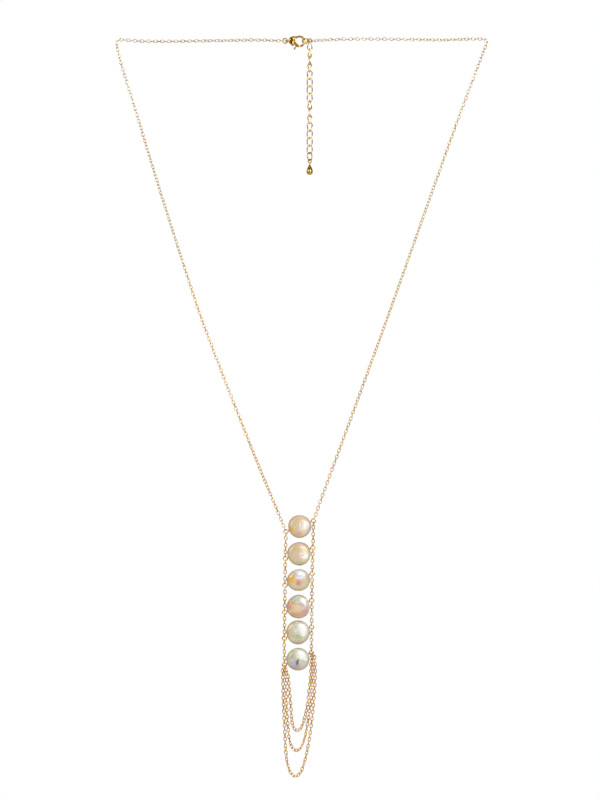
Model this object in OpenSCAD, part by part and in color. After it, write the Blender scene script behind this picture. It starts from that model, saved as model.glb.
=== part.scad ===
// Pearl drop necklace: a long cable chain with a lobster clasp and an extender, a ladder of six
// coin pearls on eye pins, and three chain swags under the last pearl.
// X runs to the right, Z upwards and Y away from the viewer. The origin is the middle of the line
// on which the chain hangs, between its two upper corners. All sizes are in millimetres.

/* [Cable chain] */
// Outer length of a chain link
link_len = 2.6; // [2.58:0.01:2.64]
// Outer width of a chain link
link_wid = 1.65; // [1.6:0.01:1.66]
// Wire of a chain link
link_wire = 0.32; // [0.28:0.01:0.33]
// Longest distance from one link to the next
link_pitch = 1.72; // [1.68:0.01:1.74]

/* [Pearls] */
// Thickness of a coin pearl
pearl_thick = 5.6; // [4.5:0.1:6]
// Hole drilled through a pearl
pearl_bore = 0.84; // [0.78:0.01:0.9]

/* [Eye pins] */
// Distance between the two loops of an eye pin, centre to centre
pin_span = 14.8; // [14.7:0.05:15]
// Stem that carries the pearl
pin_stem = 0.54; // [0.45:0.01:0.56]
// Wire of the loops
loop_wire = 0.6; // [0.5:0.01:0.62]
// Outer diameter of the loops
loop_od = 2.7; // [2.6:0.05:2.8]

/* [Clasp] */
// Wire of the clasp's hook
hook_wire = 1; // [0.8:0.05:1.1]
// Radius of the hook, to the middle of its wire
hook_radius = 2.45; // [2.4:0.05:2.5]
// Thickness of the lever
lever_thick = 0.9; // [0.7:0.05:0.9]
// Rivet that the lever turns on
rivet_d = 0.7; // [0.5:0.05:0.7]

/* [Extender] */
// Outer length of an extender link
curb_len = 4.93; // [4.9:0.01:4.96]
// Outer width of an extender link
curb_wid = 3.1; // [3:0.05:3.2]
// Wire of an extender link
curb_wire = 0.55; // [0.45:0.01:0.56]
// Length of the drop at the extender's end, without its bail
drop_len = 5.9; // [5.5:0.1:7]
// Greatest diameter of the drop
drop_wid = 3.2; // [2.6:0.1:3.4]

/* [Hidden] */

gold = [0.86, 0.68, 0.36];
bright_gold = [0.9, 0.66, 0.24];
pearl_tints = [
    [0.86, 0.75, 0.62], [0.84, 0.75, 0.58], [0.84, 0.74, 0.72],
    [0.83, 0.78, 0.74], [0.84, 0.84, 0.75], [0.8, 0.79, 0.78]
];

// Clearance between a wire and the wire that it hooks
wire_gap = 0.11;
// The same where a ring hooks a twisted link of the extender
twist_gap = 0.14;
// How far the end of a link reaches past the point where it meets the next
function past_joint(length, wire, pitch) = (length - wire - pitch) / 2;
link_past = past_joint(link_len, link_wire, link_pitch);

// Pearls from the top down: middle of the pin, how far the pin climbs to the right, the pearl's
// width and height, its turn round the pin, the size and place of its outline's three lobes, and
// how far its middle lies below its drilled hole.
MID_X = 0;
MID_Z = 1;
CLIMB = 2;
WIDE = 3;
HIGH = 4;
TURN = 5;
LOBE = 6;
LOBE_AT = 7;
LOW = 8;
pearl_rows = [
    [-0.9, -243.1, 21.4, 11.7, 11.55, -4, 0.012, 15, 0.12],
    [-1.2, -256.55, 21.4, 11.9, 11.95, 5, 0.015, 45, 0.3],
    [-1.45, -269.7, 23.3, 11.85, 11.45, 18, 0.014, 70, 0.38],
    [-1.65, -283.15, 23.5, 11.75, 12.05, -6, 0.018, 75, 0.2],
    [-1.75, -296.35, 22.6, 11.85, 12.2, 4, 0.008, 20, -0.2],
    [-1.8, -309.35, 24.3, 11.7, 11.7, 10, 0.012, 65, 0.25]
];

loop_r = (loop_od - loop_wire) / 2;
// Distance from a loop's centre to the first joint of a chain that hooks it
loop_reach = loop_r - loop_wire / 2 - link_wire / 2 - wire_gap + link_past;
links_per_rung = 7;

// Centre of the loop on the left (side -1) or right (side 1) of pearl i
function loop_at(i, side) =
    let (row = pearl_rows[i], half = side * pin_span / 2)
    [row[MID_X] + half * cos(row[CLIMB]), 0, row[MID_Z] + half * sin(row[CLIMB])];

// Clasp, from its jump ring on the left to the ring that the extender hangs from
clasp_ring_at = [-8.15, 0, -0.45];
clasp_ring_r = 1.175;
clasp_ring_wire = 0.55;
clasp_ring_lean = 10;
hook_at = [-1, 0, -0.7];
hook_from = -84;
hook_to = 138;
lever_at = [-4.3, 0, 0.3];
lever_from = 165;
lever_to = 271.5;
lever_ear = 0.75;
lever_band = 0.52;
// Angles on the hook's circle between which the lever's inner side runs straight
straight_from = 185;
straight_to = 258;
rivet_gap = 0.1;
rivet_proud = 1.38;
slot_gap = 0.15;
thumb_angle = 237;
thumb_reach = 4.25;
thumb_d = 1.2;
cheek_cut = 2.5;
// Rounded body of the clasp: X, Z and radius of the balls that it is drawn over
body_balls = [
    [-5.3, -0.5, 1.2], [-5, 0.3, 1.3], [-4, 0.65, 1.32], [-2.75, 1.15, 0.8], [-4.95, -1.55, 1.1],
    [-4.25, -2.6, 0.85]
];
eye_at = [-7, 0, -0.45];
eye_r = 0.85;
eye_wire = 0.8;
clasp_link_at = [2.02, 0, -0.45];
clasp_link_r = 1.6;
clasp_link_lean = 55;
junction_at = [4.1, 0, -0.4];
junction_r = 1.2;
junction_lean = -30;
ring_wire = 0.6;

// Extender: its links hang straight down from the lowest point of the junction ring
curb_count = 15;
curb_pitch = 3.7;
curb_twist = 70;
curb_past = past_joint(curb_len, curb_wire, curb_pitch);
// How far each extender link is turned round the line that it hangs on
curb_turns = [40, 65, 90, 120, 150, 175, 180, 195, 235, 270, 305, 335, 355, 360, 370];
junction_low = junction_at
    + junction_r * [0, sin(junction_lean), -cos(junction_lean)];
curb_top = junction_low + [0, 0, ring_wire / 2 + curb_wire / 2 + twist_gap - curb_past];
curb_end = curb_top - [0, 0, curb_count * curb_pitch];
drop_ring_r = 2.05;
drop_ring_wire = 0.5;
drop_ring_turn = 55;
drop_ring_at = curb_end
    - [0, 0, curb_past - curb_wire / 2 - drop_ring_wire / 2 - twist_gap + drop_ring_r];
bail_r = 0.95;
bail_wire = 0.55;
bail_at = drop_ring_at
    - [0, 0, drop_ring_r - drop_ring_wire / 2 - bail_wire / 2 - wire_gap + bail_r];

// Routes of the chains, as X and Z of points on them
left_route = [
    [-22, 0], [-34, -0.2], [-46, -0.4], [-58, -0.6], [-70, -0.7], [-80, -0.6], [-87.5, -0.1],
    [-91, 0.1], [-92.4, -0.8], [-92.3, -2.8], [-90.4, -11], [-88, -19], [-83, -35],
    [-75.8, -59], [-68.3, -83], [-60.7, -107], [-55.5, -123], [-50.1, -139], [-44.1, -155],
    [-38, -171], [-31.7, -187], [-25.4, -203], [-18.9, -219], [-12.6, -234]
];
right_route = [
    [14, 0.1], [26, 0.5], [38, 0.5], [50, 0.3], [62, 0.1], [72, 0], [80, 0.3], [87.5, 0.5],
    [91.2, 0.4], [92.6, -0.7], [92.1, -2.8], [89, -11], [83, -27], [77, -43], [65.6, -75],
    [54.3, -107], [42.9, -139], [31.3, -171], [19.6, -203], [10.4, -228]
];
// Where the two neck chains reach the loops of the first pearl, as a direction from the loop
left_arrives = [-0.44, 0, 0.9];
right_arrives = [0.36, 0, 0.93];

inner_route = [
    [-6.75, -318], [-6.25, -322.5], [-5.75, -328.5], [-5.25, -334.5], [-4.95, -338.5],
    [-4.5, -342], [-3.5, -344.4], [-1.95, -345.2], [-0.5, -344.2], [0.6, -342], [1.5, -339],
    [2.4, -335], [3.3, -329.5], [4.1, -322.5], [4.7, -315]
];
middle_route = [
    [-7.95, -320], [-7.75, -327], [-7.45, -334], [-7, -341], [-6.4, -347.5], [-5.9, -350.5],
    [-4.9, -353.6], [-3, -355.4], [-1.1, -354.9], [0.5, -352.4], [1.6, -349], [2.5, -345],
    [3.4, -339.5], [4.2, -334], [4.9, -327.5], [5.45, -320], [5.8, -314]
];
outer_route = [
    [-9.25, -320], [-9.15, -327.5], [-8.85, -336], [-8.4, -345], [-8, -353], [-7.5, -359],
    [-6.6, -363.5], [-5.3, -366.6], [-3.2, -368.2], [-1, -366.9], [0.5, -364], [1.7, -360],
    [2.8, -355.5], [3.9, -349.5], [4.9, -342.5], [5.8, -334], [6.4, -325.7], [6.8, -319],
    [6.85, -313]
];
// Ends of the swags, left then right: how far to the side of the loop's middle the end link hooks
// it, how far the link reaches over the loop's wire, and its lean to the right and to the back.
HOOK_X = 0;
HOOK_OVER = 1;
LEAN_X = 2;
LEAN_Y = 3;
inner_ends = [[0.6, 0.76, 0.19, -0.85], [-0.31, 0.68, 0.03, -0.96]];
middle_ends = [[0, 0.58, 0, 0.95], [0.29, 0.61, 0.15, 1]];
outer_ends = [[-0.6, 0.76, -0.24, -0.4], [0.85, 0.8, 0.65, -0.3]];
// How far in front of (below zero) or behind the pearls each swag hangs
inner_depth = -1.2;
middle_depth = 1.0;
outer_depth = -0.4;

// Real links at each end of a chain whose middle is drawn as a tube
end_links = 3;
straight = [[0, 0], [1, 0]];
// Links at a tight bend lie at 45 degrees to it, because neither way of lying gives them room
bend_twist = [[0, 0], [0.3, 0], [0.46, 45], [0.54, 45], [0.7, 0], [1, 0]];
// The middle swag's last links are turned away from those of the inner swag on the same loop
middle_twist = [[0, 0], [0.3, 0], [0.46, 45], [0.54, 45], [0.7, 0], [0.9, 0], [1, 5]];
// The first links hang square to the leaning ring that they hook
ring_twist = [[0, junction_lean], [0.05, 0], [1, 0]];
tube_sides = 8;
tube_gap = 0.15;

function unit(v) = v / norm(v);

// Smooth curve through a list of points
function curve_point(a, b, c, d, t) =
    0.5 * (2 * b + (c - a) * t + (2 * a - 5 * b + 4 * c - d) * t * t
        + (3 * b - a - 3 * c + d) * t * t * t);
function curve(p, steps = 10) = [
    for (i = [0:len(p) - 2], j = [0:steps - 1])
        curve_point(p[max(i - 1, 0)], p[i], p[i + 1], p[min(i + 2, len(p) - 1)], j / steps),
    p[len(p) - 1]
];
// Length from a curve's start to each of its points
function lengths(p) = [
    for (i = 0, s = 0; i < len(p); s = s + (i + 1 < len(p) ? norm(p[i + 1] - p[i]) : 0), i = i + 1)
        s
];
function total(s) = s[len(s) - 1];
// Point of a curve at a distance from its start
function along(p, s, at) = [
    for (axis = [0:2])
        lookup(at, [for (i = [0:len(p) - 1]) [s[i], p[i][axis]]])
];
// An odd number of links, so that both ends of a chain lie the same way, none longer than the pitch
function link_count(length) = 2 * ceil((length / link_pitch - 1) / 2) + 1;

// Curve from one loop to another: a route between two end points that lie on the hooks
function neck_curve(from, route, to) =
    curve(concat([from], [for (q = route) [q[0], 0, q[1]]], [to]));

left_curve = neck_curve(
    clasp_ring_at - [clasp_ring_r - clasp_ring_wire / 2 - link_wire / 2 - wire_gap + link_past, 0, 0],
    left_route,
    loop_at(0, -1) + loop_reach * unit(left_arrives));
right_curve = neck_curve(
    junction_at + [junction_r - ring_wire / 2 - link_wire / 2 - wire_gap + link_past, 0, 0],
    right_route,
    loop_at(0, 1) + loop_reach * unit(right_arrives));

// Point on a swag's end link, at a distance from the inside of the loop that the link hooks
function swag_joint(side, end, reach) =
    loop_at(5, side)
    + [end[HOOK_X], 0, -sqrt(pow(loop_r, 2) - pow(end[HOOK_X], 2))]
    + (reach - end[HOOK_OVER]) * unit([end[LEAN_X], end[LEAN_Y], -1]);
// A swag's first and last two joints are those of its end links, so these links fit their loops
function swag_curve(ends, route, depth) = curve(concat(
    [swag_joint(-1, ends[0], link_past), swag_joint(-1, ends[0], link_past + link_pitch)],
    [for (q = route) [q[0], depth, q[1]]],
    [swag_joint(1, ends[1], link_past + link_pitch), swag_joint(1, ends[1], link_past)]));

// Closed tube along points; across gives each ring's first direction
function ring_of(p, along_dir, out_dir, r, sides) =
    let (a = unit(out_dir - along_dir * (out_dir * along_dir)), b = cross(along_dir, a))
    [for (k = [0:sides - 1]) p + r * (cos(360 * k / sides) * a + sin(360 * k / sides) * b)];
function band_faces(rings, sides, closed) = [
    for (i = [0:rings - (closed ? 1 : 2)], k = [0:sides - 1])
        let (
            j = (i + 1) % rings,
            m = (k + 1) % sides,
            a = i * sides + k,
            b = i * sides + m,
            c = j * sides + m,
            d = j * sides + k
        )
        each [[a, c, b], [a, d, c]]
];

module torus(r, wire, facets = 48) {
    rotate([90, 0, 0])
        rotate_extrude($fn = facets)
            translate([r, 0])
                circle(d = wire, $fn = 20);
}

// One straight-sided link of round wire, standing along Z with its face to the front
module cable_link() {
    bend = (link_wid - link_wire) / 2;
    side_len = link_len - link_wid;
    for (side = [-1, 1]) {
        rotate([0, 90 - 90 * side, 0])
            translate([0, 0, side_len / 2])
                rotate([90, 0, 0])
                    rotate_extrude(angle = 180, $fn = 32)
                        translate([bend, 0])
                            circle(d = link_wire, $fn = 16);
        translate([side * bend, 0, -side_len / 2])
            cylinder(d = link_wire, h = side_len, $fn = 16);
    }
}

// Sets a link between two joints, turned round its own length
module between(a, b, turn) {
    dir = unit(b - a);
    front = unit([0, 1, 0] - dir * dir[1]);
    wide = cos(turn) * cross(front, dir) + sin(turn) * front;
    deep = cross(dir, wide);
    mid = (a + b) / 2;
    multmatrix([for (k = [0:2]) [wide[k], deep[k], dir[k], mid[k]]])
        children();
}

// Links from first to last of the count that fills a curve, every second one turned edge-on.
// A chain also twists slowly: twist gives its further turn at shares of its length.
module links_on(path, count, first, last, twist) {
    s = lengths(path);
    step = total(s) / count;
    for (k = [first:last])
        between(along(path, s, k * step), along(path, s, (k + 1) * step),
            90 * (k + 1) + lookup((k + 0.5) / count, twist))
            cable_link();
}

// A chain whose ends are real links and whose long middle is a plain tube of the chain's width
module long_chain(path, route_points, twist) {
    s = lengths(path);
    count = link_count(total(s));
    step = total(s) / count;
    inset = end_links * step + link_past + link_wire / 2 + tube_gap;
    points = [
        along(path, s, inset),
        for (q = route_points)
            if (q[1] > inset + link_len && q[1] < total(s) - inset - link_len) q[0],
        along(path, s, total(s) - inset)
    ];
    last = len(points) - 1;
    rings = [
        for (i = [0:last])
            let (dir = unit(points[min(i + 1, last)] - points[max(i - 1, 0)]))
            each ring_of(points[i], dir, [0, 1, 0], link_wid / 2, tube_sides)
    ];
    caps = [
        [for (k = [0:tube_sides - 1]) k],
        [for (k = [0:tube_sides - 1]) (last + 1) * tube_sides - 1 - k]
    ];
    links_on(path, count, 0, end_links - 1, twist);
    links_on(path, count, count - end_links, count - 1, twist);
    polyhedron(rings, concat(band_faces(last + 1, tube_sides, false), caps), convexity = 10);
}

// The curve's own route points, each with its distance from the start
function route_marks(path, steps = 10) =
    let (s = lengths(path))
    [for (i = [0:steps:len(path) - 1]) [path[i], s[i]]];

module neck_chain_left() {
    color(gold) long_chain(left_curve, route_marks(left_curve), straight);
}

module neck_chain_right() {
    color(gold) long_chain(right_curve, route_marks(right_curve), ring_twist);
}

module clasp_ring() {
    color(bright_gold)
        translate(clasp_ring_at)
            rotate([clasp_ring_lean, 0, 0])
                torus(clasp_ring_r, clasp_ring_wire);
}

// Places a flat shape in the clasp's plane, centred on its thickness
module plate(thick) {
    rotate([90, 0, 0])
        linear_extrude(thick, center = true)
            children();
}

module wedge(from, to, radius) {
    polygon([[0, 0], for (a = [from:(to - from) / 6:to + 0.01]) radius * [cos(a), sin(a)]]);
}

module clasp_body() {
    slot = lever_thick + 2 * slot_gap;
    color(bright_gold) {
        difference() {
            hull()
                for (b = body_balls)
                    translate([b[0], 0, b[1]])
                        sphere(b[2], $fn = 24);
            translate(hook_at)
                rotate([90, 0, 0])
                    cylinder(r = cheek_cut, h = 5, center = true, $fn = 64);
            translate(lever_at)
                plate(slot) {
                    circle(lever_ear + 0.3, $fn = 32);
                    wedge(-125, 10, 6);
                }
        }
        translate(lever_at)
            rotate([90, 0, 0])
                cylinder(d = rivet_d, h = 2 * rivet_proud, center = true, $fn = 24);
        translate(hook_at)
            rotate([90, 0, 0])
                rotate([0, 0, hook_from])
                    rotate_extrude(angle = hook_to - hook_from, $fn = 64)
                        translate([hook_radius, 0])
                            circle(d = hook_wire, $fn = 24);
        translate(eye_at)
            rotate([90, 0, 0])
                torus(eye_r, eye_wire);
    }
}

module clasp_lever() {
    thumb = hook_at + thumb_reach * [cos(thumb_angle), 0, sin(thumb_angle)];
    color(bright_gold)
        difference() {
            union() {
                translate(hook_at)
                    plate(lever_thick) {
                        intersection() {
                            difference() {
                                circle(hook_radius + lever_band, $fn = 64);
                                circle(hook_radius - lever_band, $fn = 64);
                            }
                            wedge(lever_from, lever_to, 8);
                        }
                        hull()
                            for (a = [straight_from, straight_to])
                                rotate(a)
                                    translate([hook_radius, 0])
                                        circle(lever_band, $fn = 32);
                        rotate(thumb_angle)
                            translate([hook_radius, -0.35])
                                square([thumb_reach - hook_radius, 0.7]);
                    }
                translate(lever_at)
                    plate(lever_thick)
                        circle(lever_ear, $fn = 32);
                translate(thumb)
                    sphere(d = thumb_d, $fn = 24);
            }
            translate(lever_at)
                rotate([90, 0, 0])
                    cylinder(d = rivet_d + 2 * rivet_gap, h = 3, center = true, $fn = 24);
        }
}

module clasp_link() {
    color(bright_gold)
        translate(clasp_link_at)
            rotate([clasp_link_lean, 0, 0])
                torus(clasp_link_r, ring_wire);
}

module extender_ring() {
    color(bright_gold)
        translate(junction_at)
            rotate([junction_lean, 0, 0])
                torus(junction_r, ring_wire);
}

// One twisted oval link, standing along Z
module curb_link() {
    steps = 16;
    sides = 6;
    high = (curb_len - curb_wire) / 2;
    wide = (curb_wid - curb_wire) / 2;
    centre = [
        for (i = [0:steps - 1])
            let (
                a = 360 * i / steps,
                z = high * sin(a),
                x = wide * sign(cos(a)) * pow(abs(cos(a)), 0.8),
                turn = curb_twist / 2 * z / high
            )
            [x * cos(turn), x * sin(turn), z]
    ];
    rings = [
        for (i = [0:steps - 1])
            let (dir = unit(centre[(i + 1) % steps] - centre[(i + steps - 1) % steps]))
            each ring_of(centre[i], dir, centre[i], curb_wire / 2, sides)
    ];
    polyhedron(rings, band_faces(steps, sides, true), convexity = 4);
}

module extender_chain() {
    color(bright_gold)
        for (k = [0:curb_count - 1])
            translate(curb_top - [0, 0, (k + 0.5) * curb_pitch])
                rotate([0, 0, curb_turns[k]])
                    curb_link();
}

module drop_ring() {
    color(bright_gold)
        translate(drop_ring_at)
            rotate([0, 0, drop_ring_turn])
                torus(drop_ring_r, drop_ring_wire);
}

module extender_drop() {
    steps = 14;
    // A greater power draws the top out longer; full is the greatest value of the shape it gives
    taper = 1.6;
    full = 2 * sqrt(1 / (taper + 2)) * pow((taper + 1) / (taper + 2), (taper + 1) / 2);
    stem = 0.25;
    color(bright_gold) {
        translate(bail_at)
            rotate([0, 0, drop_ring_turn - 90])
                torus(bail_r, bail_wire, 32);
        translate(bail_at - [0, 0, bail_r + drop_len])
            rotate_extrude($fn = 40)
                polygon([
                    [0, 0],
                    for (i = [1:steps - 1])
                        let (a = 180 * i / steps, r = drop_wid / 2 * sin(a) * pow(cos(a / 2), taper) / full)
                        [a < 90 ? r : max(stem, r), drop_len / 2 * (1 - cos(a))],
                    [stem, drop_len],
                    [0, drop_len]
                ]);
    }
}

module eye_pin(i) {
    row = pearl_rows[i];
    color(gold)
        translate([row[MID_X], 0, row[MID_Z]])
            rotate([0, -row[CLIMB], 0]) {
                rotate([0, 90, 0])
                    cylinder(d = pin_stem, h = pin_span - 2 * loop_r, center = true, $fn = 24);
                for (side = [-1, 1])
                    translate([side * pin_span / 2, 0, 0])
                        torus(loop_r, loop_wire);
            }
}

// A coin pearl: a domed disc with a lobed outline, drilled along its pin
module pearl(i) {
    row = pearl_rows[i];
    around = 28;
    across = 9;
    rings = [
        for (j = [0:across - 1])
            let (
                rise = 180 * (j + 0.5) / across - 90,
                size = pow(cos(rise), 0.55),
                y = pearl_thick / 2 * sign(sin(rise)) * pow(abs(sin(rise)), 0.95)
            )
            for (k = [0:around - 1])
                let (
                    a = 360 * k / around,
                    lobed = 1 - row[LOBE] * (1 - cos(3 * (a - row[LOBE_AT])))
                )
                [
                    row[WIDE] / 2 * size * lobed * cos(a),
                    y,
                    row[HIGH] / 2 * size * lobed * sin(a)
                ]
    ];
    caps = [
        [for (k = [0:around - 1]) around - 1 - k],
        [for (k = [0:around - 1]) (across - 1) * around + k]
    ];
    sides = [for (f = band_faces(across, around, false)) [f[2], f[1], f[0]]];
    color(pearl_tints[i])
        translate([row[MID_X], 0, row[MID_Z]])
            rotate([0, -row[CLIMB], 0])
                difference() {
                    rotate([row[TURN], 0, 0])
                        rotate([0, row[CLIMB], 0])
                            translate([0, 0, -row[LOW]])
                                polyhedron(rings, concat(sides, caps), convexity = 4);
                    rotate([0, 90, 0])
                        cylinder(d = pearl_bore, h = 2 * row[WIDE], center = true, $fn = 24);
                }
}

// Seven links that hang one pearl's loop from the loop above it
module rung(i, side) {
    top = loop_at(i, side);
    low = loop_at(i + 1, side);
    dir = unit(low - top);
    color(gold)
        links_on([top + loop_reach * dir, low - loop_reach * dir], links_per_rung,
            0, links_per_rung - 1, straight);
}

module swag(path, twist) {
    count = link_count(total(lengths(path)));
    color(gold) links_on(path, count, 0, count - 1, twist);
}

module swag_inner() {
    swag(swag_curve(inner_ends, inner_route, inner_depth), bend_twist);
}

module swag_middle() {
    swag(swag_curve(middle_ends, middle_route, middle_depth), middle_twist);
}

module swag_outer() {
    path = swag_curve(outer_ends, outer_route, outer_depth);
    color(gold) long_chain(path, route_marks(path), bend_twist);
}

neck_chain_left();
neck_chain_right();
clasp_ring();
clasp_body();
clasp_lever();
clasp_link();
extender_ring();
extender_chain();
drop_ring();
extender_drop();
eye_pin(0);  // eye_pin_1
eye_pin(1);  // eye_pin_2
eye_pin(2);  // eye_pin_3
eye_pin(3);  // eye_pin_4
eye_pin(4);  // eye_pin_5
eye_pin(5);  // eye_pin_6
pearl(0);  // pearl_1
pearl(1);  // pearl_2
pearl(2);  // pearl_3
pearl(3);  // pearl_4
pearl(4);  // pearl_5
pearl(5);  // pearl_6
rung(0, -1);  // left_chain_1
rung(1, -1);  // left_chain_2
rung(2, -1);  // left_chain_3
rung(3, -1);  // left_chain_4
rung(4, -1);  // left_chain_5
rung(0, 1);  // right_chain_1
rung(1, 1);  // right_chain_2
rung(2, 1);  // right_chain_3
rung(3, 1);  // right_chain_4
rung(4, 1);  // right_chain_5
swag_inner();
swag_middle();
swag_outer();
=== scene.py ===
import math
import random
from collections import namedtuple
import bmesh
import bpy
from mathutils import Matrix, Vector, noise


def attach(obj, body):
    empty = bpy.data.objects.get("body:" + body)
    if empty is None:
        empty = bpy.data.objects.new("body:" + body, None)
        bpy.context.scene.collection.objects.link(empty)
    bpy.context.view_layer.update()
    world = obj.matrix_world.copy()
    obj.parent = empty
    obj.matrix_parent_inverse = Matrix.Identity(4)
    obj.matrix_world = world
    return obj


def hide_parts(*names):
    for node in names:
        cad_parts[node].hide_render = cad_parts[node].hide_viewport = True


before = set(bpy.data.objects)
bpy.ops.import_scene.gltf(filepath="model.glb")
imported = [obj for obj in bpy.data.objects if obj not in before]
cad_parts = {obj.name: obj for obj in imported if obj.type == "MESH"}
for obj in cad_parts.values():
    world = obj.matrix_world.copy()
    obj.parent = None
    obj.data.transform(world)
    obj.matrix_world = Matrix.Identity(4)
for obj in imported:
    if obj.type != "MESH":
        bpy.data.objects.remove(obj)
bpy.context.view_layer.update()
MM = 0.001

# Camera.
# The necklace hangs flat and is seen square on, from the height of its middle. The picture's frame
# is 600 by 800 pixels at half a millimetre to a pixel.
PIXEL = 0.5 * MM
PIXELS_HIGH = 800
frame_high = PIXELS_HIGH * PIXEL
lens_mm = 100
sensor_mm = 36
camera_x = -0.75 * MM
camera_z = -180 * MM
camera_back = frame_high * lens_mm / sensor_mm

camera_data = bpy.data.cameras.new("camera")
camera_data.lens = lens_mm
camera_data.sensor_width = sensor_mm
camera = bpy.data.objects.new("camera", camera_data)
camera.location = (camera_x, -camera_back, camera_z)
camera.rotation_euler = (math.radians(90), 0, 0)
bpy.context.scene.collection.objects.link(camera)
bpy.context.scene.camera = camera
bpy.context.scene.view_settings.view_transform = "Standard"

# Studio.
# A white sweep far behind and three soft boxes: a wide one at the upper right, a smaller one at the
# left and one overhead. Polished metal mirrors a room that is dim on the camera's side. Matt surfaces
# take an even light that is stronger from behind, and the pale floor glows a little.
WHITE = (1, 1, 1, 1)
FLOOR_Z = -0.62
FLOOR_RADIUS = 1.3
FLOOR_PAINT = (0.8, 0.8, 0.79, 1)
FLOOR_ROUGHNESS = 0.9
FLOOR_GLOW = 0.42
EVEN_ROOM = (0.42, 0.41, 0.4, 1)
BACK_LIFT = 2.1
LIFT_FROM = 0.25
LIFT_TO = 0.85
ROOM_WARMTH = 0.94
# Mirrored room: place from the camera's side (0) to the back (1), and how bright it is there
room_stops = [(0.0, 0.02), (0.3, 0.07), (0.5, 0.2), (0.72, 0.5), (1.0, 0.9)]
pearls_at = Vector((-0.0015, 0, -0.276))
soft_boxes = {
    "key": dict(at=(0.5, -0.98, 0.18), size=(0.7, 0.7), watts=11, colour=(1, 0.995, 0.98)),
    "fill": dict(at=(-0.9, -0.55, 0.15), size=(0.4, 0.6), watts=4.2, colour=(1, 0.97, 0.93)),
    "top": dict(at=(0.1, -0.3, 1.1), size=(1.0, 0.5), watts=3, colour=(0.97, 0.98, 1)),
}


def feed(tree, socket, value):
    """Gives a socket a fixed value or another node's output."""
    if isinstance(value, bpy.types.NodeSocket):
        tree.links.new(value, socket)
    else:
        socket.default_value = value


def set_inputs(tree, node, **values):
    """Feeds a node's inputs by name."""
    for name, value in values.items():
        feed(tree, node.inputs[name.replace("_", " ")], value)


def add_node(tree, kind, *in_order, operation=None, **by_name):
    """A node of a material, group or world, with its inputs fed in order or by name."""
    made = tree.nodes.new(kind)
    if operation:
        made.operation = operation
    for socket, value in zip(made.inputs, in_order):
        feed(tree, socket, value)
    set_inputs(tree, made, **by_name)
    return made


def new_finish(name):
    """A new material, with its node tree and its shader."""
    material = bpy.data.materials.new(name)
    material.use_nodes = True
    return material, material.node_tree, material.node_tree.nodes["Principled BSDF"]


def as_mesh(bm, name):
    """Turns a finished shape into a mesh."""
    made = bpy.data.meshes.new(name)
    bm.to_mesh(made)
    bm.free()
    return made


world = bpy.data.worlds.new("studio")
bpy.context.scene.world = world
world.use_nodes = True
world.cycles.sampling_method = "NONE"
tree = world.node_tree
tree.nodes.clear()
facing = add_node(tree, "ShaderNodeTexCoord").outputs["Generated"]
to_back = add_node(tree, "ShaderNodeSeparateXYZ", facing).outputs["Y"]
ramp = add_node(tree, "ShaderNodeMapRange", Value=to_back, From_Min=-1, From_Max=1)
room = add_node(tree, "ShaderNodeValToRGB", ramp.outputs[0])
stops = room.color_ramp.elements
for k, (position, level) in enumerate(room_stops):
    stop = stops[0] if k == 0 else stops.new(position)
    stop.color = (level, level * ROOM_WARMTH ** 0.5, level * ROOM_WARMTH, 1)
stops.remove(stops[-1])
mirrored_room = add_node(tree, "ShaderNodeBackground", Color=room.outputs[0])
lift = add_node(
    tree, "ShaderNodeMapRange", Value=to_back, From_Min=LIFT_FROM, From_Max=LIFT_TO, To_Min=1,
    To_Max=BACK_LIFT)
even_room = add_node(tree, "ShaderNodeBackground", Color=EVEN_ROOM, Strength=lift.outputs[0])
white_sweep = add_node(tree, "ShaderNodeBackground", Color=WHITE)
ray = add_node(tree, "ShaderNodeLightPath")
rooms = add_node(
    tree, "ShaderNodeMixShader", ray.outputs["Is Diffuse Ray"], mirrored_room.outputs[0],
    even_room.outputs[0])
studio = add_node(
    tree, "ShaderNodeMixShader", ray.outputs["Is Camera Ray"], rooms.outputs[0],
    white_sweep.outputs[0])
add_node(tree, "ShaderNodeOutputWorld", Surface=studio.outputs[0])

for name, box in soft_boxes.items():
    light = bpy.data.lights.new(name, "AREA")
    light.shape = "RECTANGLE"
    light.size, light.size_y = box["size"]
    light.energy = box["watts"]
    light.color = box["colour"]
    lamp = bpy.data.objects.new(name, light)
    lamp.location = box["at"]
    lamp.rotation_euler = (pearls_at - lamp.location).to_track_quat("-Z", "Y").to_euler()
    lamp.visible_camera = False
    bpy.context.scene.collection.objects.link(lamp)

floor_paint, tree, shader = new_finish("white floor")
seen = add_node(tree, "ShaderNodeLightPath").outputs["Is Camera Ray"]
glow = add_node(tree, "ShaderNodeMath", seen, FLOOR_GLOW, operation="MULTIPLY")
set_inputs(
    tree, shader, Base_Color=FLOOR_PAINT, Roughness=FLOOR_ROUGHNESS, Emission_Color=WHITE,
    Emission_Strength=glow.outputs[0])
bm = bmesh.new()
bmesh.ops.create_circle(bm, cap_ends=True, segments=64, radius=FLOOR_RADIUS)
bmesh.ops.translate(bm, verts=bm.verts, vec=(0, 0, FLOOR_Z))
floor = bpy.data.objects.new("floor", as_mesh(bm, "floor"))
floor.data.materials.append(floor_paint)
bpy.context.scene.collection.objects.link(floor)

# Cable chain of the neck.
# Oval links of thin round wire, plated with gold, each soldered shut and turned a quarter from the
# last. The two neck chains hang over the line at the top and run down to the first pearl's two loops.
LINK_LEN = 2.6 * MM
LINK_WID = 1.65 * MM
LINK_WIRE = 0.32 * MM
LINK_PITCH = 1.72 * MM
LINK_STEPS = 5
LINK_SIDES = 5
LOOSE_TURN = 9
WIRE_GAP = 0.11 * MM
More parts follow.
